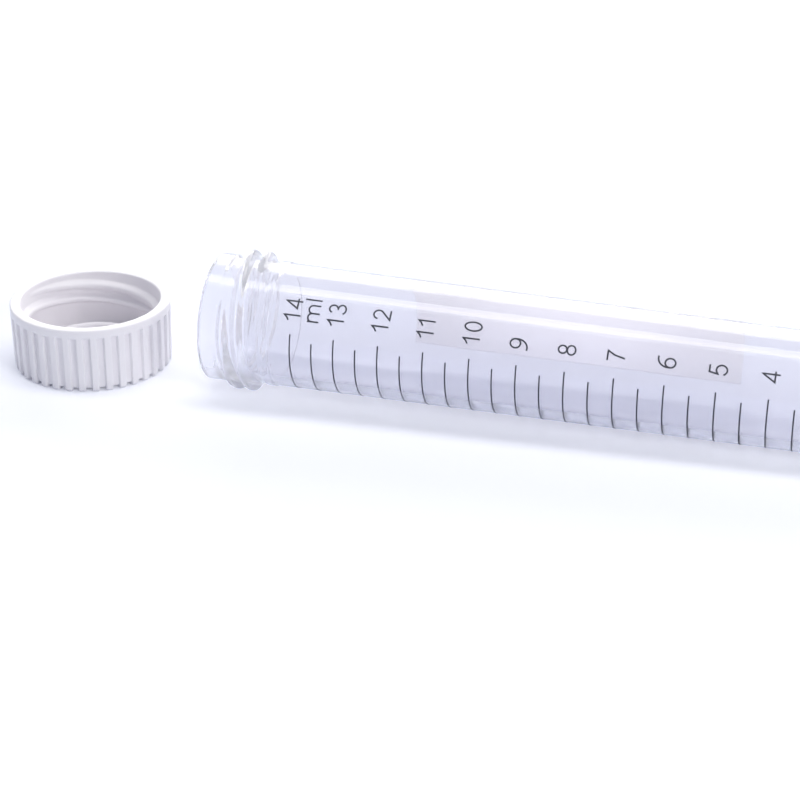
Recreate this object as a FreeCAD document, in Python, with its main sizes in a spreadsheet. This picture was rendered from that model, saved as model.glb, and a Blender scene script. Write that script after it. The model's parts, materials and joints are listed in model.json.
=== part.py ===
import FreeCAD, Part
import math
import os
import Sketcher

# A 15 ml conical tube and its screw cap, in millimetres.
# The tube lies on the floor (z = 0) on its thread and on the end of its straight body, mouth towards -X.
# The cap is off: it stands beside the mouth on its flat top, open side up.
# The origin is on the floor, under the middle of the box that holds both pieces.

doc = FreeCAD.newDocument("ConicalTube")

# Driving sizes. Depths run along the tube from its mouth, heights up the cap from its flat top,
# radii from the axis of the piece, and angles are in degrees.
DRIVING_SIZES = {
    # tube body: draughted wall, cone and rounded tip
    "shoulder_depth": 10.15,
    "body_length": 85.8,
    "body_radius": 8.46,
    "foot_radius": 7.86,
    "body_wall": 1.15,
    "cone_length": 21.0,
    "tip_bore_radius": 1.5,
    "tip_wall": 1.3,
    "foot_rounding": 2.0,
    # tube neck: plain lip, thread root, stop bead and groove
    "lip_radius": 8.75,
    "lip_length": 2.25,
    "lip_step": 0.25,
    "lip_chamfer": 0.3,
    "neck_radius": 8.4,
    "bead_radius": 8.6,
    "bead_width": 1.2,
    "bead_slope": 0.15,
    "groove_radius": 8.3,
    "groove_width": 0.2,
    "mouth_bore_radius": 7.45,
    "mouth_bore_depth": 7.0,
    "bore_relief": 2.0,
    # thread of the neck: two starts, each fading into the neck at both ends
    "thread_lead": 4.2,
    "thread_starts": 2,
    "thread_height": 1.25,
    "thread_half_width": 0.92,
    "thread_crest_half_width": 0.33,
    "thread_depth": 3.55,
    "thread_sweep": 256.0,
    "thread_fade": 45.0,
    "thread_sink": 0.3,
    # cap
    "cap_clearance": 0.2,
    "cap_wall": 0.87,
    "cap_top_thickness": 1.2,
    "cap_inner_depth": 8.15,
    "cap_rim_height": 1.25,
    "cap_side_taper": 0.15,
    "cap_edge_chamfer": 0.45,
    "cap_rim_chamfer": 0.15,
    "rib_count": 36,
    "rib_height": 0.56,
    "rib_half_width": 0.58,
    "rib_crest_half_width": 0.46,
    "rib_foot_chamfer": 0.6,
    "cap_thread_play": 0.5,
    "cap_thread_half_width": 0.75,
    "cap_thread_crest_half_width": 0.3,
    "cap_thread_inset": 1.65,
    "cap_thread_sweep": 235.0,
    "cap_thread_turn": 112.7,
    "cap_thread_sink": 0.1,
    "seal_play": 0.1,
    "seal_width": 0.85,
    "seal_height": 1.45,
    # how the two pieces lie
    "thread_turn": 95.0,
    "cap_gap": 8.3,
    "cap_offset": 1.65,
    "cap_turn": 8.7,
}

sheet = doc.addObject("Spreadsheet::Sheet", "Sizes")
for row, (alias, number) in enumerate(DRIVING_SIZES.items(), start=1):
    sheet.set(f"A{row}", alias)
    sheet.set(f"B{row}", str(number))
    sheet.setAlias(f"B{row}", alias)
doc.recompute()


class Measure:
    # A size with the sheet expression that gives it, so that a sketch can be drawn true at once
    # and stay bound to the sheet.
    def __init__(self, number, text):
        self.number = number
        self.text = text

    def join(self, other, sign, number):
        text = other.text if isinstance(other, Measure) else str(other)
        return Measure(number, f"({self.text} {sign} {text})")

    def __add__(self, other):
        return self.join(other, "+", self.number + plain(other))

    def __sub__(self, other):
        return self.join(other, "-", self.number - plain(other))

    def __mul__(self, other):
        return self.join(other, "*", self.number * plain(other))

    def __truediv__(self, other):
        return self.join(other, "/", self.number / plain(other))


def plain(value):
    return value.number if isinstance(value, Measure) else float(value)


def size(alias):
    return Measure(float(DRIVING_SIZES[alias]), f"Sizes.{alias}")


NOTHING = Measure(0.0, "0")
ON_AXIS = Measure(0.0, "0")
AXIS_START = Measure(0.0, "0")
START, END, CENTRE = 1, 2, 3
ORIGIN_POINT = (-1, 1)
UPRIGHT_AXIS = -2
FULL_TURN = 360.0


# Places that several features share.

foot_depth = size("shoulder_depth") + size("body_length")
tip_centre = foot_depth + size("cone_length")
bore_radius = size("body_radius") - size("body_wall")
bore_foot_radius = size("foot_radius") - size("body_wall")
thread_radius = size("neck_radius") + size("thread_height")

cap_bore_radius = thread_radius + size("cap_clearance")
cap_skin_radius = cap_bore_radius + size("cap_wall")
cap_radius = cap_skin_radius + size("rib_height")
cap_height = size("cap_top_thickness") + size("cap_inner_depth")
rib_top = cap_height - size("cap_rim_height")


# Helpers for bodies, planes and sketches.

def new_body(label):
    body = doc.addObject("PartDesign::Body", label)
    body.Label = label
    return body


def origin_plane(body, role):
    return next(feature for feature in body.Origin.OriginFeatures if feature.Role == role)


def new_sketch(body, name, role="XZ_Plane"):
    sketch = body.newObject("Sketcher::SketchObject", name)
    sketch.AttachmentSupport = [(origin_plane(body, role), "")]
    sketch.MapMode = "FlatFace"
    return sketch


def bind(sketch, constraint, measure):
    index = sketch.addConstraint(constraint)
    sketch.setExpression(f"Constraints[{index}]", measure.text)


def place_point(sketch, element, point, across, along):
    # Dimension one point of an element from the origin; a point on the axis has no across size.
    if across is ON_AXIS:
        if along is AXIS_START:
            sketch.addConstraint(Sketcher.Constraint("Coincident", element, point, *ORIGIN_POINT))
            return
        sketch.addConstraint(Sketcher.Constraint("PointOnObject", element, point, UPRIGHT_AXIS))
    else:
        across_size = Sketcher.Constraint("DistanceX", *ORIGIN_POINT, element, point, across.number)
        bind(sketch, across_size, across)
    if along is AXIS_START:
        sketch.addConstraint(Sketcher.Constraint("PointOnObject", element, point, -1))
    else:
        along_size = Sketcher.Constraint("DistanceY", *ORIGIN_POINT, element, point, along.number)
        bind(sketch, along_size, along)


def vector(across, along):
    return FreeCAD.Vector(across.number, along.number, 0)


def draw_outline(sketch, corners):
    # A closed outline of straight lines through (across, along) corners.
    for index, corner in enumerate(corners):
        following = corners[(index + 1) % len(corners)]
        sketch.addGeometry(Part.LineSegment(vector(*corner), vector(*following)), False)
    for index, corner in enumerate(corners):
        following = (index + 1) % len(corners)
        sketch.addConstraint(Sketcher.Constraint("Coincident", index, END, following, START))
        place_point(sketch, index, START, *corner)


def draw_tipped_outline(sketch, corners, arc_centre, arc_radius):
    # A half section that starts at the origin, runs through the corners, closes in on the axis with
    # a round tip whose arc is tangent to the last line, and comes back along the axis.
    # The first corner is the origin.
    last_across, last_along = corners[-1]
    reach = math.hypot(last_across.number, arc_centre.number - last_along.number)
    lean = math.atan2(last_across.number, arc_centre.number - last_along.number)
    slope = lean - math.asin(arc_radius.number / reach)
    touch = FreeCAD.Vector(arc_radius.number * math.cos(slope),
                           arc_centre.number + arc_radius.number * math.sin(slope), 0)
    tip = FreeCAD.Vector(0, arc_centre.number + arc_radius.number, 0)
    points = [vector(*corner) for corner in corners] + [touch]
    for first, second in zip(points, points[1:]):
        sketch.addGeometry(Part.LineSegment(first, second), False)
    circle = Part.Circle(FreeCAD.Vector(0, arc_centre.number, 0), FreeCAD.Vector(0, 0, 1), arc_radius.number)
    arc = sketch.addGeometry(Part.ArcOfCircle(circle, slope, math.pi / 2), False)
    closing = sketch.addGeometry(Part.LineSegment(tip, points[0]), False)
    cone_line = arc - 1
    for index, corner in enumerate(corners):
        if index:
            sketch.addConstraint(Sketcher.Constraint("Coincident", index - 1, END, index, START))
        place_point(sketch, index, START, *corner)
    sketch.addConstraint(Sketcher.Constraint("Tangent", cone_line, END, arc, START))
    place_point(sketch, arc, CENTRE, ON_AXIS, arc_centre)
    sketch.addConstraint(Sketcher.Constraint("PointOnObject", arc, END, UPRIGHT_AXIS))
    bind(sketch, Sketcher.Constraint("Radius", arc, arc_radius.number), arc_radius)
    sketch.addConstraint(Sketcher.Constraint("Coincident", arc, END, closing, START))
    sketch.addConstraint(Sketcher.Constraint("Coincident", closing, END, 0, START))


def revolve(body, kind, name, sketch):
    feature = body.newObject(f"PartDesign::{kind}", name)
    feature.Profile = sketch
    feature.ReferenceAxis = (sketch, ["V_Axis"])
    feature.Angle = FULL_TURN


def circular_edges(feature, radius, height):
    # Names of the full circular edges of that radius at that place along the axis.
    names = []
    for index, edge in enumerate(feature.Shape.Edges, start=1):
        curve = None if edge.Degenerated else edge.Curve
        if isinstance(curve, Part.Circle) and abs(curve.Radius - radius.number) < 1e-4:
            if abs(curve.Center.z - height.number) < 1e-4:
                names.append(f"Edge{index}")
    return names


def dress_edges(body, kind, name, edges, measure):
    # A fillet or a chamfer of that size on full circular edges, given as (radius, place along the axis).
    doc.recompute()
    base = body.Tip
    names = []
    for across, along in edges:
        names += circular_edges(base, across, along)
    feature = body.newObject(f"PartDesign::{kind}", name)
    feature.Base = (base, names)
    feature.setExpression("Radius" if kind == "Fillet" else "Size", measure.text)


# Threads: a ridge with sloping flanks and a flat crest, swept along a right-hand helix.

def ridge_sketch(body, name, radii, half_widths, depth, turned):
    # The crest may be outside the base, as on the neck, or inside it, as in the cap.
    sketch = new_sketch(body, name)
    sketch.AttachmentOffset = FreeCAD.Placement(FreeCAD.Vector(), FreeCAD.Rotation(FreeCAD.Vector(0, 1, 0), 1))
    sketch.setExpression("AttachmentOffset.Rotation.Angle", turned.text)
    base_radius, crest_radius = radii
    base_half, crest_half = half_widths
    corners = [
        (base_radius, depth - base_half),
        (crest_radius, depth - crest_half),
        (crest_radius, depth + crest_half),
        (base_radius, depth + base_half),
    ]
    draw_outline(sketch, corners)
    return sketch


def helix(body, name, sketch, sweep, growth, backwards=False):
    # Growth is the change of radius over the whole sweep.
    feature = body.newObject("PartDesign::AdditiveHelix", name)
    feature.Profile = sketch
    feature.ReferenceAxis = (sketch, ["V_Axis"])
    feature.Mode = "height-turns-growth"
    feature.Reversed = backwards
    turns = sweep / FULL_TURN
    feature.setExpression("Turns", turns.text)
    feature.setExpression("Height", (size("thread_lead") * turns).text)
    feature.setExpression("Growth", (growth / turns).text)
    return feature


def add_thread(body, radii, half_widths, depth, sweep, turned):
    # One full-height stretch with a fading stretch at each end, repeated for each start.
    base_radius, crest_radius = radii
    first = ridge_sketch(body, "RidgeFirst", radii, half_widths, depth, turned)
    last_depth = depth + size("thread_lead") * sweep / FULL_TURN
    last = ridge_sketch(body, "RidgeLast", radii, half_widths, last_depth, turned + sweep)
    sinking = base_radius - crest_radius
    full = helix(body, "ThreadFull", first, sweep, NOTHING)
    lead_in = helix(body, "ThreadIn", first, size("thread_fade"), sinking, backwards=True)
    run_out = helix(body, "ThreadOut", last, size("thread_fade"), sinking)
    starts = body.newObject("PartDesign::PolarPattern", "ThreadStarts")
    starts.Originals = [full, lead_in, run_out]
    starts.Axis = (first, ["V_Axis"])
    starts.Angle = FULL_TURN
    starts.setExpression("Occurrences", size("thread_starts").text)
    body.Tip = starts


# The tube.

def tube_outside(body):
    step = size("lip_step")
    bead_foot = size("shoulder_depth") - size("groove_width") - size("bead_slope")
    bead_top = bead_foot - size("bead_width")
    sketch = new_sketch(body, "TubeOutside")
    corners = [
        (ON_AXIS, AXIS_START),
        (size("lip_radius"), AXIS_START),
        (size("lip_radius"), size("lip_length")),
        (size("neck_radius"), size("lip_length") + step),
        (size("neck_radius"), bead_top - size("bead_slope")),
        (size("bead_radius"), bead_top),
        (size("bead_radius"), bead_foot),
        (size("groove_radius"), bead_foot + size("bead_slope")),
        (size("body_radius"), size("shoulder_depth")),
        (size("foot_radius"), foot_depth),
    ]
    draw_tipped_outline(sketch, corners, tip_centre, size("tip_bore_radius") + size("tip_wall"))
    revolve(body, "Revolution", "TubeSolid", sketch)
    foot_edge = [(size("foot_radius"), foot_depth)]
    dress_edges(body, "Fillet", "FootRounding", foot_edge, size("foot_rounding"))


def tube_bore(body):
    sketch = new_sketch(body, "TubeBore")
    corners = [
        (ON_AXIS, AXIS_START),
        (size("mouth_bore_radius"), AXIS_START),
        (size("mouth_bore_radius"), size("mouth_bore_depth")),
        (bore_radius, size("mouth_bore_depth") + size("bore_relief")),
        (bore_foot_radius, foot_depth),
    ]
    draw_tipped_outline(sketch, corners, tip_centre, size("tip_bore_radius"))
    revolve(body, "Groove", "Bore", sketch)


def build_tube():
    body = new_body("tube")
    tube_outside(body)
    radii = (size("neck_radius") - size("thread_sink"), thread_radius)
    half_widths = (size("thread_half_width"), size("thread_crest_half_width"))
    add_thread(body, radii, half_widths, size("thread_depth"), size("thread_sweep"), NOTHING - size("thread_turn"))
    tube_bore(body)
    lip_edges = [(size("lip_radius"), AXIS_START), (size("mouth_bore_radius"), AXIS_START)]
    dress_edges(body, "Chamfer", "LipChamfer", lip_edges, size("lip_chamfer"))
    return body


# The cap, built with its flat top on the floor and its open side up.

def cap_shell(body):
    sketch = new_sketch(body, "CapSection")
    floor = size("cap_top_thickness")
    foot = size("rib_foot_chamfer")
    seal_radius = size("mouth_bore_radius") - size("seal_play")
    seal_inner_radius = seal_radius - size("seal_width")
    seal_top = floor + size("seal_height")
    corners = [
        (ON_AXIS, AXIS_START),
        (cap_skin_radius - foot, AXIS_START),
        (cap_skin_radius, foot),
        (cap_skin_radius, rib_top),
        (cap_radius, rib_top),
        (cap_radius, cap_height),
        (cap_bore_radius, cap_height),
        (cap_bore_radius, floor),
        (seal_radius, floor),
        (seal_radius, seal_top),
        (seal_inner_radius, seal_top),
        (seal_inner_radius, floor),
        (ON_AXIS, floor),
    ]
    draw_outline(sketch, corners)
    revolve(body, "Revolution", "CapShell", sketch)
    rim_edges = [(cap_radius, cap_height), (cap_bore_radius, cap_height)]
    seal_edges = [(seal_radius, seal_top), (seal_inner_radius, seal_top)]
    dress_edges(body, "Chamfer", "RimChamfer", rim_edges + seal_edges, size("cap_rim_chamfer"))


def trim_thread_roots(body):
    # The fading ends of the thread sink through the wall: what comes out between the ribs is cut away.
    sketch = new_sketch(body, "SkinOutside")
    outside = cap_radius + size("rib_height")
    corners = [
        (cap_skin_radius, size("rib_foot_chamfer")),
        (outside, size("rib_foot_chamfer")),
        (outside, rib_top),
        (cap_skin_radius, rib_top),
    ]
    draw_outline(sketch, corners)
    revolve(body, "Groove", "SkinTrim", sketch)


def add_ribs(body):
    # The first rib stands half a pitch round, clear of the seam of the turned faces.
    sketch = new_sketch(body, "RibSection", "XY_Plane")
    sketch.AttachmentOffset = FreeCAD.Placement(FreeCAD.Vector(), FreeCAD.Rotation(FreeCAD.Vector(0, 0, 1), 1))
    sketch.setExpression("AttachmentOffset.Rotation.Angle", f"{FULL_TURN / 2} / Sizes.rib_count")
    half = size("rib_half_width")
    crest_half = size("rib_crest_half_width")
    foot_radius = cap_skin_radius - size("rib_foot_chamfer")
    inner = (cap_bore_radius + foot_radius) / 2
    corners = [
        (inner, NOTHING - half),
        (cap_skin_radius, NOTHING - half),
        (cap_radius, NOTHING - crest_half),
        (cap_radius, crest_half),
        (cap_skin_radius, half),
        (inner, half),
    ]
    draw_outline(sketch, corners)
    rib = body.newObject("PartDesign::Pad", "Rib")
    rib.Profile = sketch
    rib.setExpression("Length", rib_top.text)
    ribs = body.newObject("PartDesign::PolarPattern", "Ribs")
    ribs.Originals = [rib]
    ribs.Axis = (sketch, ["N_Axis"])
    ribs.Angle = FULL_TURN
    ribs.setExpression("Occurrences", size("rib_count").text)
    body.Tip = ribs


def taper_ribs(body):
    # Cut away what lies outside the draughted side and its lower edge.
    sketch = new_sketch(body, "RibOutside")
    edge = size("cap_edge_chamfer")
    edge_radius = cap_radius - size("cap_side_taper")
    outside = cap_radius + size("rib_height")
    corners = [
        (edge_radius - edge, AXIS_START),
        (outside, AXIS_START),
        (outside, rib_top),
        (cap_radius, rib_top),
        (edge_radius, edge),
    ]
    draw_outline(sketch, corners)
    revolve(body, "Groove", "RibTaper", sketch)


def build_cap():
    body = new_body("cap")
    cap_shell(body)
    radii = (cap_bore_radius + size("cap_thread_sink"), size("neck_radius") + size("cap_thread_play"))
    half_widths = (size("cap_thread_half_width"), size("cap_thread_crest_half_width"))
    sweep = size("cap_thread_sweep")
    lowest = cap_height - size("cap_thread_inset") - size("thread_lead") * sweep / FULL_TURN
    add_thread(body, radii, half_widths, lowest, sweep, NOTHING - size("cap_thread_turn"))
    trim_thread_roots(body)
    add_ribs(body)
    taper_ribs(body)
    return body


# How they lie: the tube rests on its thread, straight below the axis, and on the foot of its body.

def lay_tube(body):
    crest_depth = size("thread_depth") + size("thread_lead") * size("thread_turn") / FULL_TURN
    contact_depth = crest_depth + size("thread_crest_half_width")
    fall = thread_radius - size("foot_radius")
    slope = f"atan({fall.text} / {(foot_depth - contact_depth).text})"
    tip_radius = size("tip_bore_radius") + size("tip_wall")
    beside = size("cap_gap") + cap_radius * 2
    mouth = f"({(beside - tip_radius).text} - {tip_centre.text} * cos({slope})) / 2"
    height = f"{contact_depth.text} * sin({slope}) + {thread_radius.text} * cos({slope})"
    sideways = (thread_radius - size("cap_offset") - cap_radius) / 2
    body.Placement = FreeCAD.Placement(FreeCAD.Vector(), FreeCAD.Rotation(FreeCAD.Vector(0, 1, 0), 90))
    body.setExpression("Placement.Rotation.Angle", f"90 deg + {slope}")
    body.setExpression("Placement.Base.x", mouth)
    body.setExpression("Placement.Base.y", sideways.text)
    body.setExpression("Placement.Base.z", height)
    return mouth, sideways


def stand_cap(body, mouth, sideways):
    body.Placement = FreeCAD.Placement(FreeCAD.Vector(), FreeCAD.Rotation(FreeCAD.Vector(0, 0, 1), 1))
    body.setExpression("Placement.Rotation.Angle", size("cap_turn").text)
    body.setExpression("Placement.Base.x", f"{mouth} - {(size('cap_gap') + cap_radius).text}")
    body.setExpression("Placement.Base.y", (sideways + size("cap_offset")).text)


tube = build_tube()
cap = build_cap()
mouth_place, tube_line = lay_tube(tube)
stand_cap(cap, mouth_place, tube_line)
doc.recompute()


# Check the document before anything is written.

failed = [item.Name for item in doc.Objects if "Invalid" in item.State or "Error" in item.State]
if failed:
    raise RuntimeError(f"features that failed: {failed}")

os.makedirs("parts", exist_ok=True)
for body in (tube, cap):
    shape = body.Shape
    if shape.isNull() or not shape.isValid() or len(shape.Solids) != 1:
        raise RuntimeError(f"{body.Label} is not one valid solid")
    shape.exportStep(f"parts/{body.Label}.step")
    box = shape.optimalBoundingBox()
    print(f"{body.Label}: {shape.Volume:.1f} mm3, {len(shape.Faces)} faces, "
          f"x {box.XMin:.3f} to {box.XMax:.3f}, y {box.YMin:.3f} to {box.YMax:.3f}, "
          f"z {box.ZMin:.3f} to {box.ZMax:.3f}")
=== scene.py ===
import json
import math

import bmesh
import bpy
from mathutils import Matrix, Vector


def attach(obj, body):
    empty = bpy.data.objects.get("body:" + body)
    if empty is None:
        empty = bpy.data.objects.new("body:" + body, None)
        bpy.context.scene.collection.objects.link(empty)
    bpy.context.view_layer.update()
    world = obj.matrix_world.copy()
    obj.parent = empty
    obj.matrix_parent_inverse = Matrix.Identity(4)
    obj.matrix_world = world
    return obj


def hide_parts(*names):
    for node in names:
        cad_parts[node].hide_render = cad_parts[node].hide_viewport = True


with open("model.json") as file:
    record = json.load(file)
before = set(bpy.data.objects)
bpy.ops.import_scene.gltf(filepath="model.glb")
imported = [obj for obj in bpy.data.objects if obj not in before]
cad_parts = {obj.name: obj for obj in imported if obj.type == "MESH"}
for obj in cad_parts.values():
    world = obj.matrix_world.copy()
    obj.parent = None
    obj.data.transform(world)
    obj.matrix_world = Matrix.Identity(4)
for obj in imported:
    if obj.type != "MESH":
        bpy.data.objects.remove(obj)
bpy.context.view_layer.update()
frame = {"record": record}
mounts = {mount["name"]: mount for mount in frame["record"]["mounts"]}
fullTurn = 2 * math.pi
mm = 0.001


class Wire:
    # A socket of a node tree: arithmetic on it adds Math nodes. With no socket it stands for the tree.
    def __init__(self, tree, socket=None):
        self.tree = tree
        self.socket = socket

    def add(self, kind, settings=None, values=None, output=0):
        # one more node: its settings first, then the values or links of its sockets
        node = self.tree.nodes.new(kind)
        for name, setting in (settings or {}).items():
            setattr(node, name, setting)
        for key, value in (values or {}).items():
            if isinstance(value, Wire):
                self.tree.links.new(value.socket, node.inputs[key])
            else:
                node.inputs[key].default_value = value
        return Wire(self.tree, node.outputs[output])

    def beside(self, output):
        # another output of the same node
        return Wire(self.tree, self.socket.node.outputs[output])

    def maths(self, operation, *others):
        terms = (self,) + others
        return self.add("ShaderNodeMath", {"operation": operation}, dict(enumerate(terms)))

    def __add__(self, other):
        return self.maths("ADD", other)

    __radd__ = __add__

    def __sub__(self, other):
        return self.maths("SUBTRACT", other)

    def __rsub__(self, other):
        return self.add("ShaderNodeMath", {"operation": "SUBTRACT"}, {0: other, 1: self})

    def __mul__(self, other):
        return self.maths("MULTIPLY", other)

    __rmul__ = __mul__

    def __truediv__(self, other):
        return self.maths("DIVIDE", other)

    def __rtruediv__(self, other):
        return self.add("ShaderNodeMath", {"operation": "DIVIDE"}, {0: other, 1: self})


# Geometry trees and meshes, all in millimetres until they are settled

pointWeld = 1e-5
seamWeld = 1e-4


def newTree(name, inputs):
    tree = bpy.data.node_groups.new(name, "GeometryNodeTree")
    tree.interface.new_socket(name="Geometry", in_out="INPUT", socket_type="NodeSocketGeometry")
    for label, value in inputs.items():
        kind = "NodeSocketInt" if isinstance(value, int) else "NodeSocketFloat"
        socket = tree.interface.new_socket(name=label, in_out="INPUT", socket_type=kind)
        socket.default_value = value
    tree.interface.new_socket(name="Geometry", in_out="OUTPUT", socket_type="NodeSocketGeometry")
    group = tree.nodes.new("NodeGroupInput")
    sockets = {socket.name: Wire(tree, socket) for socket in group.outputs if socket.name}
    return tree, Wire(tree), sockets


def closeTree(tree, geometry, material):
    # every tree ends in real geometry with its material
    real = geometry.add("GeometryNodeRealizeInstances", None, {0: geometry})
    done = real.add("GeometryNodeSetMaterial", None, {"Geometry": real, "Material": material})
    out = tree.nodes.new("NodeGroupOutput")
    tree.links.new(done.socket, out.inputs[0])


def bakeTree(obj, tree, inputs):
    # run the tree on the object, keep the result as a plain mesh and drop the modifier
    modifier = obj.modifiers.new(tree.name, "NODES")
    modifier.node_group = tree
    for item in tree.interface.items_tree:
        if item.item_type == "SOCKET" and item.in_out == "INPUT" and item.name in inputs:
            modifier[item.identifier] = inputs[item.name]
    graph = bpy.context.evaluated_depsgraph_get()
    mesh = bpy.data.meshes.new_from_object(obj.evaluated_get(graph))
    obj.modifiers.clear()
    obj.data = mesh


def newObject(name, content):
    obj = bpy.data.objects.new(name, content)
    bpy.context.scene.collection.objects.link(obj)
    return obj


def newMesh(name, points, edges=(), faces=()):
    mesh = bpy.data.meshes.new(name)
    mesh.from_pydata([tuple(point) for point in points], list(edges), list(faces))
    return mesh


def settle(obj, place, smooth=True):
    # millimetres of the piece's own frame to metres of the shared frame, with closed, outward faces
    mesh = obj.data
    shell = bmesh.new()
    shell.from_mesh(mesh)
    bmesh.ops.remove_doubles(shell, verts=shell.verts, dist=pointWeld)
    bmesh.ops.recalc_face_normals(shell, faces=shell.faces)
    shell.to_mesh(mesh)
    shell.free()
    mesh.transform(place @ Matrix.Scale(mm, 4))
    for polygon in mesh.polygons:
        polygon.use_smooth = smooth
    mesh.update()


# Outlines of turned forms: (radius, depth) points

def arcPoints(centre, radius, fromAngle, toAngle, steps):
    span = [fromAngle + (toAngle - fromAngle) * step / steps for step in range(steps + 1)]
    return [(centre[0] + radius * math.cos(math.radians(angle)),
             centre[1] + radius * math.sin(math.radians(angle))) for angle in span]


def evenPoints(start, end, step):
    count = max(1, round(math.dist(start, end) / step))
    return [(start[0] + (end[0] - start[0]) * i / count, start[1] + (end[1] - start[1]) * i / count)
            for i in range(count + 1)]


def pointAlong(start, end, share):
    return (start[0] + (end[0] - start[0]) * share, start[1] + (end[1] - start[1]) * share)


def guardedPoints(start, end, step, guard=0.06):
    # the short first and last steps keep the rounding of a smooth-shaded corner narrow
    share = guard / math.dist(start, end)
    middle = evenPoints(pointAlong(start, end, share), pointAlong(end, start, share), step)
    return [start] + middle + [end]


def coneLean(radius, length, tipRadius):
    # half angle of a cone that ends tangent to a ball
    return math.atan2(radius, length) - math.asin(tipRadius / math.hypot(radius, length))


def outlineRow(radius, depth, threaded=False, ribExtra=0.0):
    return {"radius": radius, "depth": depth, "threadPart": float(threaded), "ribExtra": ribExtra}


def outlineObject(name, rows):
    # the outline as a bare mesh: each point carries its part in the thread and in the ribs
    points = [(row["radius"], 0.0, row["depth"]) for row in rows]
    mesh = newMesh(name, points, [(i, i + 1) for i in range(len(points) - 1)])
    for label in ("threadPart", "ribExtra"):
        layer = mesh.attributes.new(label, "FLOAT", "POINT")
        layer.data.foreach_set("value", [row[label] for row in rows])
    return newObject(name, mesh)


def ridgeRadius(inputs, angle, depth, side):
    # radius of the two-start thread at an angle and a depth; far below the wall where there is none
    ridges = []
    for start in (0.0, math.pi):
        fade = inputs["Fade"].maths("RADIANS")
        sweep = inputs["Sweep"].maths("RADIANS")
        begun = angle - inputs["Start Angle"].maths("RADIANS") - start
        along = begun.maths("WRAP", fullTurn - fade, fade * -1.0)
        crestDepth = inputs["Start Depth"] + inputs["Lead"] * along / fullTurn
        away = (depth - crestDepth).maths("ABSOLUTE")
        rise = (inputs["Crest"] - inputs["Base"]) * side
        before = along * -1.0 / fade
        after = (along - sweep) / fade
        sunk = before.maths("MAXIMUM", after).maths("MAXIMUM", 0.0) * rise
        flank = (inputs["Half Width"] - away) * inputs["Slope"]
        ridges.append(flank.maths("SMOOTH_MIN", rise, inputs["Crest Softness"]) - sunk)
    height = ridges[0].maths("MAXIMUM", ridges[1])
    return inputs["Base"] + height * side


def turnedTree(name, inputs, outward, material):
    # spins an outline round the Z axis, raises the thread and the ribs on it, and closes the seam
    tree, sheet, sockets = newTree(name, inputs)
    rows = sheet.add("GeometryNodeAttributeDomainSize", None, {0: sockets["Geometry"]})
    grid = sheet.add("GeometryNodeMeshGrid", None, {
        "Size X": 1.0, "Size Y": 1.0, "Vertices X": rows, "Vertices Y": sockets["Segments"] + 1})
    along = sheet.add("ShaderNodeSeparateXYZ", None, {0: sheet.add("GeometryNodeInputPosition")})
    across = along.beside("Y")
    row = ((along + 0.5) * (rows - 1.0)).maths("ROUND")
    even = (across + 0.5) * fullTurn
    # the steps round the axis crowd together on the flanks of the ribs
    flanks = sockets["Ribs"] * 2.0
    angle = even + (even * flanks).maths("SINE") * sockets["Crowding"] / flanks

    def sampled(field, kind):
        return sheet.add("GeometryNodeSampleIndex", {"data_type": kind},
                         {"Geometry": sockets["Geometry"], "Value": field, "Index": row})

    def sampledLayer(label):
        layer = sheet.add("GeometryNodeInputNamedAttribute", {"data_type": "FLOAT"}, {"Name": label})
        return sampled(layer, "FLOAT")

    point = sampled(sheet.add("GeometryNodeInputPosition"), "FLOAT_VECTOR")
    outline = sheet.add("ShaderNodeSeparateXYZ", None, {0: point})
    depth = outline.beside("Z")
    # distance from the nearest rib in pitches: 0 in its middle, 0.5 in the middle of a groove
    pitches = (angle * sockets["Ribs"] / fullTurn + 0.5).maths("WRAP", 0.5, -0.5).maths("ABSOLUTE")
    crest = sheet.add("ShaderNodeMapRange", {"interpolation_type": "SMOOTHSTEP"},
                      {0: pitches, 1: sockets["Rib Half"], 2: sockets["Rib Crest"], 3: 0.0, 4: 1.0})
    plainRadius = outline + sampledLayer("ribExtra") * crest
    ridge = ridgeRadius(sockets, angle, depth, 1.0 if outward else -1.0)
    blend = "SMOOTH_MAX" if outward else "SMOOTH_MIN"
    threaded = plainRadius.maths(blend, ridge, sockets["Root Softness"])
    radius = plainRadius + (threaded - plainRadius) * sampledLayer("threadPart")
    target = sheet.add("ShaderNodeCombineXYZ", None,
                       {0: radius * angle.maths("COSINE"), 1: radius * angle.maths("SINE"), 2: depth})
    spun = sheet.add("GeometryNodeSetPosition", None, {"Geometry": grid, "Position": target})
    joined = sheet.add("GeometryNodeMergeByDistance", None, {"Geometry": spun, "Distance": seamWeld})
    closeTree(tree, joined, material)
    return tree


# Materials

def newMaterial(name):
    material = bpy.data.materials.new(name)
    material.use_nodes = True
    tree = material.node_tree
    tree.nodes.clear()
    return material, Wire(tree)


def closeMaterial(sheet, surface):
    out = sheet.tree.nodes.new("ShaderNodeOutputMaterial")
    sheet.tree.links.new(surface.socket, out.inputs["Surface"])


def objectPlace(sheet):
    return sheet.add("ShaderNodeTexCoord", None, None, "Object")


def noise(sheet, place, scale, detail):
    return sheet.add("ShaderNodeTexNoise", None, {"Vector": place, "Scale": scale, "Detail": detail})


def raised(sheet, height, strength, distance):
    # a bump; its distance is in metres
    return sheet.add("ShaderNodeBump", None, {"Height": height, "Strength": strength, "Distance": distance})


def mixedColour(sheet, share, first, second):
    # a Mix node's colour sockets are 6 and 7, and its colour comes out of 2
    return sheet.add("ShaderNodeMix", {"data_type": "RGBA"}, {0: share, 6: first, 7: second}, 2)


def mixedShader(sheet, share, first, second):
    return sheet.add("ShaderNodeMixShader", None, {0: share, 1: first, 2: second})


# The tube: depths from the mouth and radii from the axis, in millimetres

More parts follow.
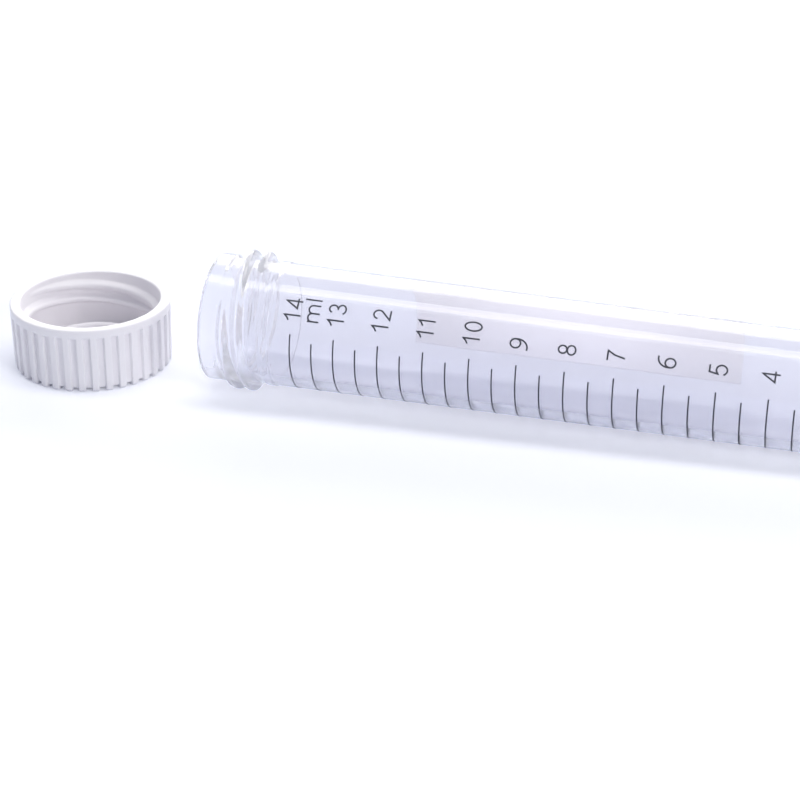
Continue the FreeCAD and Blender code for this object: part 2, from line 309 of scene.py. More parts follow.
tubeSizes = {
    "lipRadius": 8.75, "lipLength": 2.25, "lipStep": 0.25, "lipRounding": 0.35, "neckRadius": 8.4,
    "beadRadius": 8.6, "beadStart": 8.9, "beadEnd": 9.8, "beadSlope": 0.5, "beadGuard": 0.05,
    "grooveRadius": 8.3, "grooveDepth": 9.95,
    "shoulder": 10.15, "bodyRadius": 8.46, "foot": 95.95, "footRadius": 7.86, "footRounding": 2.0,
    "tipCentre": 116.95, "tipRadius": 2.8, "tipBore": 1.5, "wall": 1.15,
    "mouthRadius": 7.45, "mouthDepth": 6.55, "boreStart": 8.95, "boreStep": 0.35,
    "threadStep": 0.11, "lipRow": 0.5, "mouthRow": 1.0, "coneRow": 2.0, "bodyRow": 4.0,
    "tipSteps": 14, "boreTipSteps": 10, "cornerSteps": 5, "segments": 200,
}

# right-handed with two starts; angles in degrees
neckThread = {
    "Lead": 4.2, "Base": 8.1, "Crest": 9.65, "Half Width": 0.97, "Slope": 2.5, "Crest Softness": 1.0,
    "Root Softness": 0.3, "Start Angle": -95.0, "Start Depth": 3.55, "Sweep": 256.0, "Fade": 45.0,
}

# natural polypropylene: clear with a little milk in it, and faint flow lines along the body
tubeFinish = {
    "clear": (0.9, 0.896, 0.94, 1.0), "milk": (0.93, 0.925, 0.94, 1.0), "haze": (0.7, 0.8, 1.0, 1.0),
    "hazeShare": 0.1, "milkShare": 0.16, "milkSpread": 0.06, "roughness": 0.025, "roughSpread": 0.03,
    "refraction": 1.49, "cloudScale": 90.0, "cloudDetail": 3.0, "flowScale": 900.0, "flowDetail": 2.0,
    "flowStretch": (0.06, 1.0, 1.0), "flowStrength": 0.12, "flowDepth": 0.00006,
}


def tubeOutside(sizes):
    # from the tip up to the mouth
    lean = coneLean(sizes["footRadius"], sizes["tipCentre"] - sizes["foot"], sizes["tipRadius"])
    degrees = math.degrees(lean)
    cut = sizes["footRounding"] * math.tan(lean / 2)
    low = (sizes["footRadius"] - cut * math.sin(lean), sizes["foot"] + cut * math.cos(lean))
    high = (sizes["footRadius"], sizes["foot"] - cut)
    centre = (sizes["footRadius"] - sizes["footRounding"], sizes["foot"] - cut)
    points = arcPoints((0.0, sizes["tipCentre"]), sizes["tipRadius"], 90.0, degrees, sizes["tipSteps"])
    points += evenPoints(points[-1], low, sizes["coneRow"])[1:]
    points += arcPoints(centre, sizes["footRounding"], degrees, 0.0, sizes["cornerSteps"])[1:]
    points += guardedPoints(high, (sizes["bodyRadius"], sizes["shoulder"]), sizes["bodyRow"])[1:]
    points += [(sizes["grooveRadius"], sizes["grooveDepth"]), (sizes["beadRadius"], sizes["beadEnd"])]
    points += evenPoints((sizes["beadRadius"], sizes["beadEnd"] - sizes["beadGuard"]),
                         (sizes["beadRadius"], sizes["beadStart"]), sizes["threadStep"])
    points += evenPoints((sizes["neckRadius"], sizes["beadStart"] - sizes["beadSlope"]),
                         (sizes["neckRadius"], sizes["lipLength"] + sizes["lipStep"]), sizes["threadStep"])
    points += guardedPoints((sizes["lipRadius"], sizes["lipLength"]),
                            (sizes["lipRadius"], sizes["lipRounding"]), sizes["lipRow"])
    points += arcPoints((sizes["lipRadius"] - sizes["lipRounding"], sizes["lipRounding"]),
                        sizes["lipRounding"], 0.0, -90.0, sizes["cornerSteps"])[1:]
    return points


def tubeInside(sizes):
    # from the mouth down the bore to the inside of the tip
    boreTop = sizes["bodyRadius"] - sizes["wall"]
    boreFoot = sizes["footRadius"] - sizes["wall"]
    between = (sizes["mouthRadius"] + boreTop) / 2
    degrees = math.degrees(coneLean(boreFoot, sizes["tipCentre"] - sizes["foot"], sizes["tipBore"]))
    tip = arcPoints((0.0, sizes["tipCentre"]), sizes["tipBore"], degrees, 90.0, sizes["boreTipSteps"])
    points = arcPoints((sizes["mouthRadius"] + sizes["lipRounding"], sizes["lipRounding"]),
                       sizes["lipRounding"], 270.0, 180.0, sizes["cornerSteps"])
    points += guardedPoints(points[-1], (sizes["mouthRadius"], sizes["mouthDepth"]), sizes["mouthRow"])[1:]
    points += guardedPoints((between, sizes["mouthDepth"] + sizes["boreStep"]),
                            (between, sizes["boreStart"] - sizes["boreStep"]), sizes["mouthRow"])
    points += guardedPoints((boreTop, sizes["boreStart"]), (boreFoot, sizes["foot"]), sizes["bodyRow"])
    points += guardedPoints((boreFoot, sizes["foot"]), tip[0], sizes["coneRow"])[1:]
    return points + tip[1:]


def radiusAt(depth):
    # outside of the tube below its shoulder, without the rounding between body and cone
    sizes = tubeSizes
    if depth <= sizes["foot"]:
        share = (depth - sizes["shoulder"]) / (sizes["foot"] - sizes["shoulder"])
        return sizes["bodyRadius"] + share * (sizes["footRadius"] - sizes["bodyRadius"])
    lean = coneLean(sizes["footRadius"], sizes["tipCentre"] - sizes["foot"], sizes["tipRadius"])
    return sizes["footRadius"] - (depth - sizes["foot"]) * math.tan(lean)


def tubePlastic():
    finish = tubeFinish
    material, sheet = newMaterial("tubePolypropylene")
    place = objectPlace(sheet)
    cloud = noise(sheet, place, finish["cloudScale"], finish["cloudDetail"])
    stretched = sheet.add("ShaderNodeMapping", None, {"Vector": place, "Scale": finish["flowStretch"]})
    flow = noise(sheet, stretched, finish["flowScale"], finish["flowDetail"])
    bump = raised(sheet, flow, finish["flowStrength"], finish["flowDepth"])
    clear = sheet.add("ShaderNodeBsdfPrincipled", None, {
        "Base Color": finish["clear"], "Roughness": cloud * finish["roughSpread"] + finish["roughness"],
        "IOR": finish["refraction"], "Transmission Weight": 1.0, "Normal": bump})
    through = sheet.add("ShaderNodeBsdfTranslucent", None, {"Color": finish["milk"], "Normal": bump})
    haze = sheet.add("ShaderNodeBsdfDiffuse", None, {"Color": finish["haze"], "Normal": bump})
    milk = mixedShader(sheet, finish["hazeShare"], through, haze)
    milkiness = cloud * finish["milkSpread"] + finish["milkShare"]
    closeMaterial(sheet, mixedShader(sheet, milkiness, clear, milk))
    return material


def mouthPlace():
    # the tube's own frame: depth along its axis from the mouth, and the line that faces -Y kept level
    axis = -Vector(mounts["mouth_rim"]["axis"])
    bore = Vector(mounts["neck_thread"]["pos_m"])
    rim = Vector(mounts["mouth_rim"]["pos_m"])
    mouth = bore + axis * (rim - bore).dot(axis)
    side = Vector((0.0, 1.0, 0.0))
    down = side.cross(axis)
    return Matrix.Translation(mouth) @ Matrix((down, side, axis)).transposed().to_4x4()


def buildTube(place, material):
    print("tube: turning the wall")
    sizes = tubeSizes
    rows = [outlineRow(radius, depth, sizes["lipLength"] < depth < sizes["beadEnd"])
            for radius, depth in tubeOutside(sizes)]
    rows += [outlineRow(radius, depth) for radius, depth in tubeInside(sizes)]
    tube = outlineObject("conicalTube", rows)
    # the tube has no ribs: its rows carry none, and its steps are even
    plain = {"Segments": sizes["segments"], "Ribs": 1, "Crowding": 0.0, "Rib Half": 0.5, "Rib Crest": 0.4}
    inputs = {**neckThread, **plain}
    bakeTree(tube, turnedTree("turnedTube", inputs, True, material), inputs)
    settle(tube, place)
    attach(tube, "root")
    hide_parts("tube")


# The cap: millimetres from its flat top up to its open rim; rib widths as shares of the rib pitch

capSizes = {
    "ribs": 36, "samplesPerRib": 16, "crowding": 0.8, "ribHalf": 0.275, "crestHalf": 0.225,
    "skinRadius": 10.72, "rimRadius": 11.28, "ribTop": 8.1, "height": 9.35, "taper": 0.15,
    "edgeRounding": 0.5, "undercut": 0.55, "undercutSlope": 3.6, "ledge": 0.22, "ledgeSteps": 4,
    "bevel": 0.08, "bevelStart": 0.01, "bevelEnd": 0.09, "bandGuard": 0.5, "rimRounding": 0.2,
    "boreRadius": 9.85, "threadFoot": 3.4, "threadLow": 2.0, "threadMargin": 0.25,
    "floor": 1.2, "innerCorner": 0.4, "cornerSteps": 4, "floorRow": 3.0,
    "sealOuter": 7.35, "sealInner": 6.5, "sealHeight": 1.45, "sealFoot": 0.15, "sealSteps": 8,
    "flatRows": (0.0, 3.0, 6.0), "flatGuard": 0.3, "sideRows": (1.2, 2.4, 4.0, 5.6, 7.0, 7.7),
    "edgeRows": (0.0, 0.02, 0.06, 0.12, 0.2, 0.3, 0.4, 0.5, 0.55, 0.6),
    "threadStep": 0.12, "plainStep": 0.6, "turn": 8.7,
}

capThread = {
    "Lead": 4.2, "Base": 9.95, "Crest": 8.9, "Half Width": 0.78, "Slope": 2.4, "Crest Softness": 0.7,
    "Root Softness": 0.3, "Start Angle": -112.7, "Start Depth": 4.958, "Sweep": 235.0, "Fade": 45.0,
}

# white polyethylene, satin, with the faint mottling of a moulding
capFinish = {
    "dark": (0.87, 0.85, 0.885, 1.0), "light": (0.905, 0.885, 0.92, 1.0), "mottleScale": 260.0,
    "mottleDetail": 4.0, "roughness": 0.36, "roughSpread": 0.1, "refraction": 1.5, "grainScale": 1400.0,
    "grainDetail": 3.0, "grainStrength": 0.12, "grainDepth": 0.00003, "subsurface": 0.1,
    "subsurfaceRadius": (0.0004, 0.0004, 0.0004),
}


def capOutside(sizes):
    # rows of (radius between the ribs, height, extra radius on a rib), from the flat top to the rim
    def skinAt(height):
        return sizes["skinRadius"] - max(0.0, sizes["undercut"] - height) * sizes["undercutSlope"]

    def ribAt(height):
        edge = sizes["rimRadius"] - sizes["taper"]
        rounding = sizes["edgeRounding"]
        if height < rounding:
            return edge - rounding + math.sqrt(rounding ** 2 - (rounding - height) ** 2)
        return edge + sizes["taper"] * (height - rounding) / (sizes["ribTop"] - rounding)

    rim, ribTop, ledge, bevel = sizes["rimRadius"], sizes["ribTop"], sizes["ledge"], sizes["bevel"]
    rows = [(radius, 0.0, 0.0) for radius in sizes["flatRows"] + (skinAt(0.0) - sizes["flatGuard"],)]
    for height in sizes["edgeRows"] + sizes["sideRows"] + (ribTop - ledge,):
        rows.append((skinAt(height), height, ribAt(height) - skinAt(height)))
    # the groove runs out in a small hollow under the rim
    for step in range(1, sizes["ledgeSteps"] + 1):
        turned = math.radians(90.0 * step / sizes["ledgeSteps"])
        radius = sizes["skinRadius"] + ledge * (1 - math.cos(turned))
        rows.append((radius, ribTop - ledge * (1 - math.sin(turned)), rim - radius))
    rows.append((rim - bevel, ribTop + sizes["bevelStart"], bevel))
    rows += [(rim, ribTop + sizes["bevelEnd"], 0.0), (rim, ribTop + sizes["bandGuard"], 0.0)]
    rounding = sizes["rimRounding"]
    edge = arcPoints((rim - rounding, sizes["height"] - rounding), rounding, 0.0, 90.0, sizes["cornerSteps"])
    return rows + [point + (0.0,) for point in edge]


def capInside(sizes):
    # from the rim down the bore, across the inner floor and over the seal ring to the middle
    rounding, corner, steps = sizes["rimRounding"], sizes["innerCorner"], sizes["cornerSteps"]
    bore, floor, foot = sizes["boreRadius"], sizes["floor"], sizes["sealFoot"]
    points = arcPoints((bore + rounding, sizes["height"] - rounding), rounding, 90.0, 180.0, steps)
    points += evenPoints(points[-1], (bore, sizes["threadFoot"]), sizes["threadStep"])[1:]
    points += evenPoints(points[-1], (bore, floor + corner), sizes["plainStep"])[1:]
    points += arcPoints((bore - corner, floor + corner), corner, 0.0, -90.0, steps)[1:]
    middle = (sizes["sealOuter"] + sizes["sealInner"]) / 2
    half = (sizes["sealOuter"] - sizes["sealInner"]) / 2
    points += [(sizes["sealOuter"] + foot, floor), (sizes["sealOuter"], floor + foot)]
    points += arcPoints((middle, floor + sizes["sealHeight"] - half), half, 0.0, 180.0, sizes["sealSteps"])
    points += [(sizes["sealInner"], floor + foot), (sizes["sealInner"] - foot, floor)]
    return points + [(sizes["floorRow"], floor), (0.0, floor)]


def capPlastic():
    finish = capFinish
    material, sheet = newMaterial("capPolyethylene")
    place = objectPlace(sheet)
    mottle = noise(sheet, place, finish["mottleScale"], finish["mottleDetail"])
    shade = mixedColour(sheet, mottle, finish["dark"], finish["light"])
    grain = noise(sheet, place, finish["grainScale"], finish["grainDetail"])
    bump = raised(sheet, grain, finish["grainStrength"], finish["grainDepth"])
    plastic = sheet.add("ShaderNodeBsdfPrincipled", None, {
        "Base Color": shade, "Roughness": mottle * finish["roughSpread"] + finish["roughness"],
        "IOR": finish["refraction"], "Normal": bump, "Subsurface Weight": finish["subsurface"],
        "Subsurface Radius": finish["subsurfaceRadius"], "Subsurface Scale": 1.0})
    closeMaterial(sheet, plastic)
    return material


def capPlace():
    top = Vector(mounts["cap_top"]["pos_m"])
    return Matrix.Translation(top) @ Matrix.Rotation(math.radians(capSizes["turn"]), 4, "Z")


def buildCap(place, material):
    print("cap: ribs, rim and inner thread")
    sizes = capSizes
    rows = [outlineRow(radius, height, False, extra) for radius, height, extra in capOutside(sizes)]
    wallSide = (sizes["sealOuter"] + sizes["boreRadius"]) / 2
    for radius, height in capInside(sizes):
        onThread = sizes["threadLow"] < height < sizes["height"] - sizes["threadMargin"]
        rows.append(outlineRow(radius, height, onThread and radius > wallSide))
    cap = outlineObject("screwCap", rows)
    ribbed = {"Segments": sizes["ribs"] * sizes["samplesPerRib"], "Ribs": sizes["ribs"],
              "Crowding": sizes["crowding"], "Rib Half": sizes["ribHalf"], "Rib Crest": sizes["crestHalf"]}
    inputs = {**capThread, **ribbed}
    bakeTree(cap, turnedTree("turnedCap", inputs, False, material), inputs)
    settle(cap, place)
    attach(cap, "root")
    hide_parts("cap")


# The printed scale: angles in degrees above the side of the tube that faces -Y

scalePrint = {
    "firstDepth": 13.07, "boreAtFirst": 7.286, "boreTaper": 0.00695, "halfMillilitre": 500.0,
    "marks": 26, "longStart": 16.8, "shortStart": 10.2, "skew": -0.05, "end": -81.0, "markSteps": 40,
    "lineWidth": 0.19, "inkThickness": 0.02, "inkGap": 0.008, "stroke": 0.225, "advance": 0.72,
    "firstNumber": 14, "numberStart": 27.45, "numberSkew": 0.02, "numberHeight": 2.52,
    "singleShift": 2.4, "unitDepth": 15.67, "unitHeight": 2.47, "unitShift": 1.5,
}

# screen-printed ink with a slightly uneven body
inkFinish = {
    "dark": (0.016, 0.018, 0.03, 1.0), "light": (0.035, 0.037, 0.052, 1.0), "roughness": 0.45,
    "roughSpread": 0.15, "bodyScale": 3500.0, "bodyDetail": 2.0, "grainScale": 5000.0, "grainDetail": 3.0,
    "grainStrength": 0.1, "grainDepth": 0.00001,
}


def scaleInk():
    finish = inkFinish
    material, sheet = newMaterial("scaleInk")
    place = objectPlace(sheet)
    body = noise(sheet, place, finish["bodyScale"], finish["bodyDetail"])
    shade = mixedColour(sheet, body, finish["dark"], finish["light"])
    grain = noise(sheet, place, finish["grainScale"], finish["grainDetail"])
    bump = raised(sheet, grain, finish["grainStrength"], finish["grainDepth"])
    ink = sheet.add("ShaderNodeBsdfPrincipled", None, {
        "Base Color": shade, "Roughness": body * finish["roughSpread"] + finish["roughness"], "Normal": bump})
    closeMaterial(sheet, ink)
    return material


def markTree(inputs, steps, material):
    # one bar for each mark, laid out in a stack, then bent round the tube at the depth of its volume
    tree, sheet, sockets = newTree("scaleMarks", inputs)
    pitch = 10.0  # only keeps the bars of the stack apart, so that a height tells which bar it is on
    stack = sheet.add("GeometryNodeMeshLine", None, {"Count": sockets["Marks"], "Offset": (0.0, 0.0, pitch)})
    bar = sheet.add("GeometryNodeMeshCube", None, {
        "Size": (1.0, 1.0, 1.0), "Vertices X": 2, "Vertices Y": steps, "Vertices Z": 2})
    bars = sheet.add("GeometryNodeInstanceOnPoints", None, {"Points": stack, "Instance": bar})
    solid = sheet.add("GeometryNodeRealizeInstances", None, {0: bars})
    across = sheet.add("ShaderNodeSeparateXYZ", None, {0: sheet.add("GeometryNodeInputPosition")})
    along = across.beside("Y") + 0.5
    stacked = across.beside("Z")
    index = (stacked / pitch).maths("ROUND")
    lift = stacked - index * pitch + 0.5
    # the narrowing bore is a cone: the cube of its radius falls evenly with the volume passed
    passed = index * sockets["Step"] * (3.0 / math.pi) * sockets["Bore Taper"]
    left = sockets["Bore"].maths("POWER", 3.0) - passed
    drop = (sockets["Bore"] - left.maths("POWER", 1.0 / 3.0)) / sockets["Bore Taper"]
    isShort = (index / 2.0).maths("FRACT").maths("GREATER_THAN", 0.25)  # every second mark
    start = sockets["Long Start"] + (sockets["Short Start"] - sockets["Long Start"]) * isShort
    start = start + sockets["Skew"] * drop
    turned = (start + (sockets["End"] - start) * along).maths("RADIANS")
    depth = sockets["First Depth"] + drop + across * sockets["Line Width"]
    surface = sockets["Radius"] - (depth - sockets["First Depth"]) * sockets["Radius Taper"]
    radius = surface + sockets["Gap"] + lift * sockets["Thickness"]
    side = radius * turned.maths("SINE") * -1.0
    front = radius * turned.maths("COSINE") * -1.0
    target = sheet.add("ShaderNodeCombineXYZ", None, {0: side, 1: front, 2: depth})
    bent = sheet.add("GeometryNodeSetPosition", None, {"Geometry": solid, "Position": target})
    closeTree(tree, bent, material)
    return tree


def buildMarks(place, material):
    print("scale: marks")
    sizes = scalePrint
    marks = newObject("scaleMarks", newMesh("scaleMarks", []))
    taper = (tubeSizes["bodyRadius"] - tubeSizes["footRadius"]) / (tubeSizes["foot"] - tubeSizes["shoulder"])
    inputs = {
        "Marks": sizes["marks"], "Step": sizes["halfMillilitre"], "Bore": sizes["boreAtFirst"],
        "Bore Taper": sizes["boreTaper"], "First Depth": sizes["firstDepth"],
        "Long Start": sizes["longStart"], "Short Start": sizes["shortStart"], "Skew": sizes["skew"],
        "End": sizes["end"], "Line Width": sizes["lineWidth"], "Thickness": sizes["inkThickness"],
        "Gap": sizes["inkGap"], "Radius": radiusAt(sizes["firstDepth"]), "Radius Taper": taper,
    }
    bakeTree(marks, markTree(inputs, sizes["markSteps"], material), inputs)
    settle(marks, place, smooth=False)
    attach(marks, "root")


# Lettering: strokes in units of the digit height, each a list of points

def glyphArc(centreX, centreY, radiusX, radiusY, fromAngle, toAngle, steps=10):
    angles = [math.radians(fromAngle + (toAngle - fromAngle) * step / steps) for step in range(steps + 1)]
    return [(centreX + radiusX * math.cos(angle), centreY + radiusY * math.sin(angle)) for angle in angles]


def glyphRing(centreX, centreY, radiusX, radiusY):
    return glyphArc(centreX, centreY, radiusX, radiusY, 0.0, 360.0, 20)


glyphs = {
    "0": [glyphRing(0.345, 0.5, 0.245, 0.45)],
    "1": [[(0.12, 0.7), (0.28, 0.79), (0.41, 0.95), (0.41, 0.05)]],
    "2": [glyphArc(0.335, 0.68, 0.235, 0.27, 172.0, -38.0, 12) + [(0.08, 0.05), (0.61, 0.05)]],
    "3": [glyphArc(0.32, 0.72, 0.21, 0.23, 160.0, -90.0, 12)
          + glyphArc(0.325, 0.27, 0.25, 0.22, 90.0, -162.0, 12)],
    "4": [[(0.64, 0.3), (0.07, 0.3), (0.47, 0.95), (0.47, 0.05)]],
    "5": [[(0.57, 0.95), (0.2, 0.95), (0.12, 0.5)]
          + glyphArc(0.335, 0.33, 0.255, 0.28, 140.0, -158.0, 14)],
    "6": [glyphRing(0.355, 0.32, 0.24, 0.27), glyphArc(0.56, 0.4, 0.45, 0.56, 75.0, 184.0)],
    "7": [[(0.09, 0.95), (0.6, 0.95), (0.4, 0.6), (0.27, 0.05)]],
    "8": [glyphRing(0.345, 0.73, 0.205, 0.22), glyphRing(0.345, 0.27, 0.245, 0.22)],
    "9": [glyphRing(0.335, 0.68, 0.24, 0.27), glyphArc(0.13, 0.6, 0.45, 0.56, -105.0, 4.0)],
    "m": [[(0.1, 0.05), (0.1, 0.7)],
          [(0.1, 0.4)] + glyphArc(0.325, 0.47, 0.225, 0.21, 170.0, 0.0, 8) + [(0.55, 0.05)],
          [(0.55, 0.4)] + glyphArc(0.775, 0.47, 0.225, 0.21, 170.0, 0.0, 8) + [(1.0, 0.05)]],
    "l": [[(0.16, 0.05), (0.16, 0.98)]],
}
glyphWidths = {"m": 1.16, "l": 0.3}
kerning = {"11": -0.09}


def strokePoints(points, longest=0.06):
    # short steps, so that a stroke follows the round of the tube
    dense = [points[0]]
    for start, end in zip(points, points[1:]):
        dense += evenPoints(start, end, longest)[1:]
    return dense


def strokeBand(points, half, sharpest=0.5):
    # left and right edges of a stroke with mitred corners and square ends
    left, right = [], []
    for index, point in enumerate(points):
        before = Vector(points[max(index - 1, 0)])
        after = Vector(points[min(index + 1, len(points) - 1)])
        here = Vector(point)
        first = (here - before).normalized() if index else (after - here).normalized()
        second = (after - here).normalized() if index < len(points) - 1 else first
        across = Vector((-(first + second).y, (first + second).x)).normalized()
        lean = max(sharpest, across.dot(Vector((-second.y, second.x))))
        left.append(here + across * half / lean)
        right.append(here - across * half / lean)
    return left, right


def wrapPoint(turned, depth, lift):
    # a point above the tube's surface, turned in radians from the line that faces -Y
    radius = radiusAt(depth) + lift
    return (-radius * math.sin(turned), -radius * math.cos(turned), depth)


def writeWord(word, turned, depth, height, ink):
    # points and faces of one word, centred on a depth and reading up round the tube
    points, faces = [], []
    radius = radiusAt(depth)
    pen = 0.0
    half = ink["stroke"] / 2 / height
    for letter, following in zip(word, word[1:] + " "):
        for stroke in glyphs[letter]:
            left, right = strokeBand(strokePoints(stroke), half)
            first = len(points)
            for low, high in zip(left, right):
                for corner, lift in ((low, 0.0), (high, 0.0), (high, 1.0), (low, 1.0)):
                    angle = turned + (pen + corner[0]) * height / radius
                    place = depth - (corner[1] - 0.5) * height
                    rise = ink["inkGap"] + lift * ink["inkThickness"]
                    points.append(wrapPoint(angle, place, rise))
            last = first + (len(left) - 1) * 4
            for ring in range(first, last, 4):
                for side in range(4):
                    beside = (side + 1) % 4
                    faces.append((ring + side, ring + beside, ring + 4 + beside, ring + 4 + side))
            faces.append(tuple(first + side for side in range(4)))
            faces.append(tuple(last + side for side in (3, 2, 1, 0)))
        pen += glyphWidths.get(letter, ink["advance"]) + kerning.get(letter + following, 0.0)
    return points, faces


def markDepth(index):
    # depth of a half-millilitre mark: each holds the same volume in the narrowing bore
    sizes = scalePrint
    taper = sizes["boreTaper"]
    left = sizes["boreAtFirst"] ** 3 - 3 * taper * index * sizes["halfMillilitre"] / math.pi
    return sizes["firstDepth"] + (sizes["boreAtFirst"] - left ** (1 / 3)) / taper


def buildNumbers(place, material):
    print("scale: numbers")
    sizes = scalePrint
    words = []
    for index in range(sizes["marks"] // 2):  # a number at every whole millilitre
        word = str(sizes["firstNumber"] - index)
        shift = sizes["singleShift"] if len(word) == 1 else 0.0
        words.append((word, markDepth(2 * index), sizes["numberHeight"], shift))
    words.append(("ml", sizes["unitDepth"], sizes["unitHeight"], sizes["unitShift"]))
    points, faces = [], []
    for word, depth, height, shift in words:
        lag = sizes["numberSkew"] * (depth - sizes["firstDepth"])
        turned = math.radians(sizes["numberStart"] + shift - lag)
        newPoints, newFaces = writeWord(word, turned, depth, height, sizes)
        faces += [tuple(corner + len(points) for corner in face) for face in newFaces]
        points += newPoints
    numbers = newObject("scaleNumbers", newMesh("scaleNumbers", points, (), faces))
    numbers.data.materials.append(material)
    settle(numbers, place, smooth=False)
    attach(numbers, "root")


# The writing patch: degrees round the tube from the line that faces -Y, and depths in millimetres

patchPrint = {"from": 112.0, "to": 207.0, "start": 26.64, "end": 71.94, "steps": 64}

# thin white ink that lets light through
patchFinish = {
    "dark": (0.94, 0.93, 0.97, 1.0), "light": (0.98, 0.97, 1.0, 1.0), "through": (0.95, 0.94, 0.955, 1.0),
    "throughShare": 0.92, "cover": 0.92, "roughness": 0.55, "roughSpread": 0.1, "bodyScale": 2200.0,
    "bodyDetail": 3.0, "grainScale": 3000.0, "grainDetail": 3.0, "grainStrength": 0.2, "grainDepth": 0.00001,
}


def patchInk():
    finish = patchFinish
    material, sheet = newMaterial("writingPatchInk")
    place = objectPlace(sheet)
    body = noise(sheet, place, finish["bodyScale"], finish["bodyDetail"])
    shade = mixedColour(sheet, body, finish["dark"], finish["light"])
    grain = noise(sheet, place, finish["grainScale"], finish["grainDetail"])
    bump = raised(sheet, grain, finish["grainStrength"], finish["grainDepth"])
    film = sheet.add("ShaderNodeBsdfPrincipled", None, {
        "Base Color": shade, "Roughness": body * finish["roughSpread"] + finish["roughness"], "Normal": bump})
    through = sheet.add("ShaderNodeBsdfTranslucent", None, {"Color": finish["through"], "Normal": bump})
    ink = mixedShader(sheet, finish["throughShare"], film, through)
    bare = sheet.add("ShaderNodeBsdfTransparent", None, {"Color": (1.0, 1.0, 1.0, 1.0)})
    closeMaterial(sheet, mixedShader(sheet, finish["cover"], bare, ink))
    return material


def buildPatch(place, material):
    print("writing patch")
    sizes = patchPrint
    steps = sizes["steps"]
    points, faces = [], []
    for lift in (0.0, 1.0):
        rise = scalePrint["inkGap"] + lift * scalePrint["inkThickness"]
        for end in ("start", "end"):
            for step in range(steps + 1):
                turned = math.radians(sizes["from"] + (sizes["to"] - sizes["from"]) * step / steps)
                points.append(wrapPoint(turned, sizes[end], rise))
    line = steps + 1
    for step in range(steps):
        lowStart, lowEnd, topStart, topEnd = (step + line * edge for edge in range(4))
        faces += [(lowStart, lowStart + 1, lowEnd + 1, lowEnd), (topStart, topEnd, topEnd + 1, topStart + 1),
                  (lowStart, topStart, topStart + 1, lowStart + 1), (lowEnd, lowEnd + 1, topEnd + 1, topEnd)]
    faces += [(0, line, 3 * line, 2 * line), (steps, 2 * line + steps, 3 * line + steps, line + steps)]
    patch = newObject("writingPatch", newMesh("writingPatch", points, (), faces))
    patch.data.materials.append(material)
    settle(patch, place)
    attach(patch, "root")


# The studio, in metres: a matt white table that shows as plain white and still takes the shadow

studio = {
    "floorHalf": 3.0, "table": (0.91, 0.93, 0.98, 1.0), "grainScale": 700.0, "grainDetail": 2.0,
    "roughness": 0.3, "roughSpread": 0.1, "glow": 0.19, "glowSeen": (0.88, 0.88, 1.0, 1.0),
    # painted blue shade: mirrored and transmitted rays see the table glow bluer than the camera does, so the
    # lower half of the tube, which looks through to the table in its shadow, reads blue
    "blueShadeGlowThrough": (0.56, 0.68, 1.15, 1.0), "sky": (0.8, 0.845, 0.98, 1.0),
    "skySeen": (1.0, 1.0, 1.0, 1.0), "skyStrength": 0.4, "skyExtra": 0.6, "lampColour": (1.0, 0.98, 0.95),
}

lamps = {
    "overheadStrip": {
        "place": (0.0, 0.05, 0.72), "target": (0.0, 0.0, 0.0), "size": (1.2, 0.2), "watts": 2.8},
    "backPanel": {
        "place": (0.1, 0.82, 0.35), "target": (0.0, 0.0, 0.0), "size": (1.7, 0.58), "watts": 8.2},
    "sideKey": {
        "place": (0.66, -0.48, 0.42), "target": (-0.02, 0.0, 0.0), "size": (0.3, 0.3), "watts": 2.3},
}


def seenRays(sheet):
    # 1 on rays from the camera, and 1 on those as well as on mirrored and transmitted rays
    direct = sheet.add("ShaderNodeLightPath")
    seen = direct.maths("MAXIMUM", direct.beside("Is Glossy Ray"))
    return direct, seen.maths("MAXIMUM", direct.beside("Is Transmission Ray"))


def paleFloor():
    material, sheet = newMaterial("paleFloor")
    grain = noise(sheet, objectPlace(sheet), studio["grainScale"], studio["grainDetail"])
    table = sheet.add("ShaderNodeBsdfDiffuse", None, {
        "Color": studio["table"], "Roughness": grain * studio["roughSpread"] + studio["roughness"]})
    direct, seen = seenRays(sheet)
    # painted blue shade: the glow seen through the tube and in its reflections is bluer than the near-white
    # glow the camera sees
    paintedShadeGlowColour = mixedColour(sheet, direct, studio["blueShadeGlowThrough"], studio["glowSeen"])
    glow = sheet.add("ShaderNodeEmission", None, {"Color": paintedShadeGlowColour, "Strength": seen * studio["glow"]})
    closeMaterial(sheet, sheet.add("ShaderNodeAddShader", None, {0: table, 1: glow}))
    return material


def buildFloor():
    print("floor")
    half = studio["floorHalf"]
    corners = [(-half, -half, 0.0), (half, -half, 0.0), (half, half, 0.0), (-half, half, 0.0)]
    floor = newObject("floor", newMesh("floor", corners, (), [(0, 1, 2, 3)]))
    floor.data.materials.append(paleFloor())


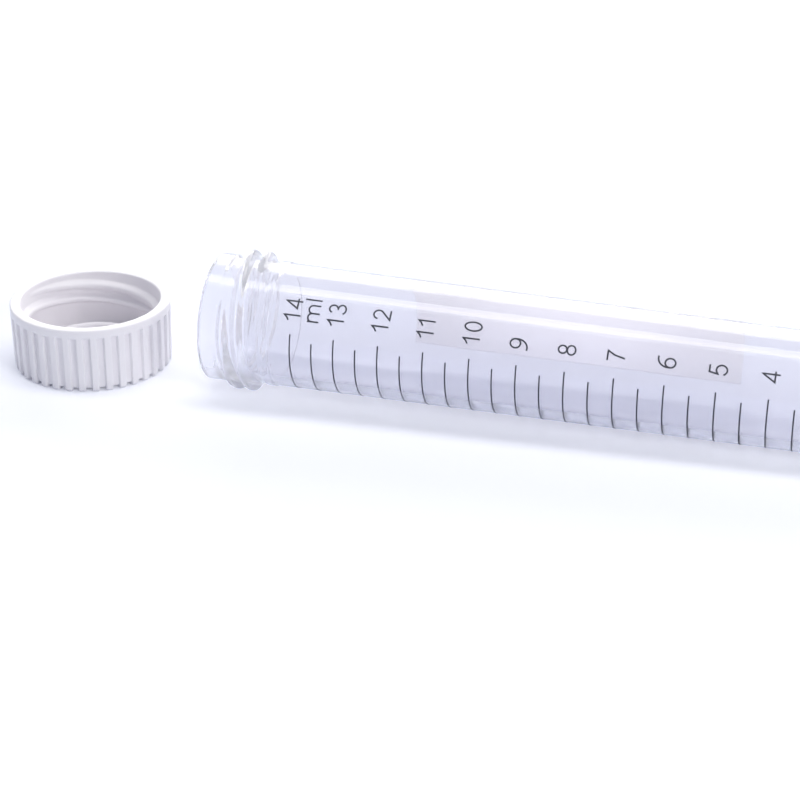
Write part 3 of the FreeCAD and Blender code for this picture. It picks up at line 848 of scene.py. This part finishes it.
def buildSky():
    print("sky and lamps")
    world = bpy.data.worlds.new("studio")
    bpy.context.scene.world = world
    world.use_nodes = True
    tree = world.node_tree
    tree.nodes.clear()
    sheet = Wire(tree)
    seen = seenRays(sheet)[1]
    shade = mixedColour(sheet, seen, studio["sky"], studio["skySeen"])
    strength = seen * studio["skyExtra"] + studio["skyStrength"]
    sky = sheet.add("ShaderNodeBackground", None, {"Color": shade, "Strength": strength})
    out = tree.nodes.new("ShaderNodeOutputWorld")
    tree.links.new(sky.socket, out.inputs["Surface"])


def areaLamp(name, lamp):
    light = bpy.data.lights.new(name, "AREA")
    light.shape = "RECTANGLE"
    light.size, light.size_y = lamp["size"]
    light.energy = lamp["watts"]
    light.color = studio["lampColour"]
    holder = newObject(name, light)
    holder.location = lamp["place"]
    towards = Vector(lamp["target"]) - Vector(lamp["place"])
    holder.rotation_euler = towards.to_track_quat("-Z", "Y").to_euler()


# The view: degrees and millimetres, measured from a point of the axis beside the first mark.
# The nearest and farthest distances that the camera sees are in metres.

viewing = {
    "azimuth": 14.97, "elevation": 26.09, "distance": 284.67, "depth": 13.04, "aim": (18.155, -18.765, 0.0),
    "lens": 100.07, "sensor": 36.0, "nearest": 0.01, "farthest": 20.0,
}


def buildCamera(mouth):
    print("camera")
    lens = bpy.data.cameras.new("camera")
    lens.lens = viewing["lens"]
    lens.sensor_width = viewing["sensor"]
    lens.clip_start = viewing["nearest"]
    lens.clip_end = viewing["farthest"]
    camera = newObject("camera", lens)
    aim = mouth @ Vector((0.0, 0.0, viewing["depth"] * mm)) + Vector(viewing["aim"]) * mm
    azimuth = math.radians(viewing["azimuth"])
    elevation = math.radians(viewing["elevation"])
    away = Vector((math.sin(azimuth) * math.cos(elevation), -math.cos(azimuth) * math.cos(elevation),
                   math.sin(elevation)))
    camera.location = aim + away * viewing["distance"] * mm
    camera.rotation_euler = (-away).to_track_quat("-Z", "Y").to_euler()
    bpy.context.scene.camera = camera


mouth = mouthPlace()
ink = scaleInk()
buildTube(mouth, tubePlastic())
buildCap(capPlace(), capPlastic())
buildMarks(mouth, ink)
buildNumbers(mouth, ink)
buildPatch(mouth, patchInk())
buildFloor()
buildSky()
for lampName, lamp in lamps.items():
    areaLamp(lampName, lamp)
buildCamera(mouth)
bpy.context.scene.view_settings.view_transform = "Standard"
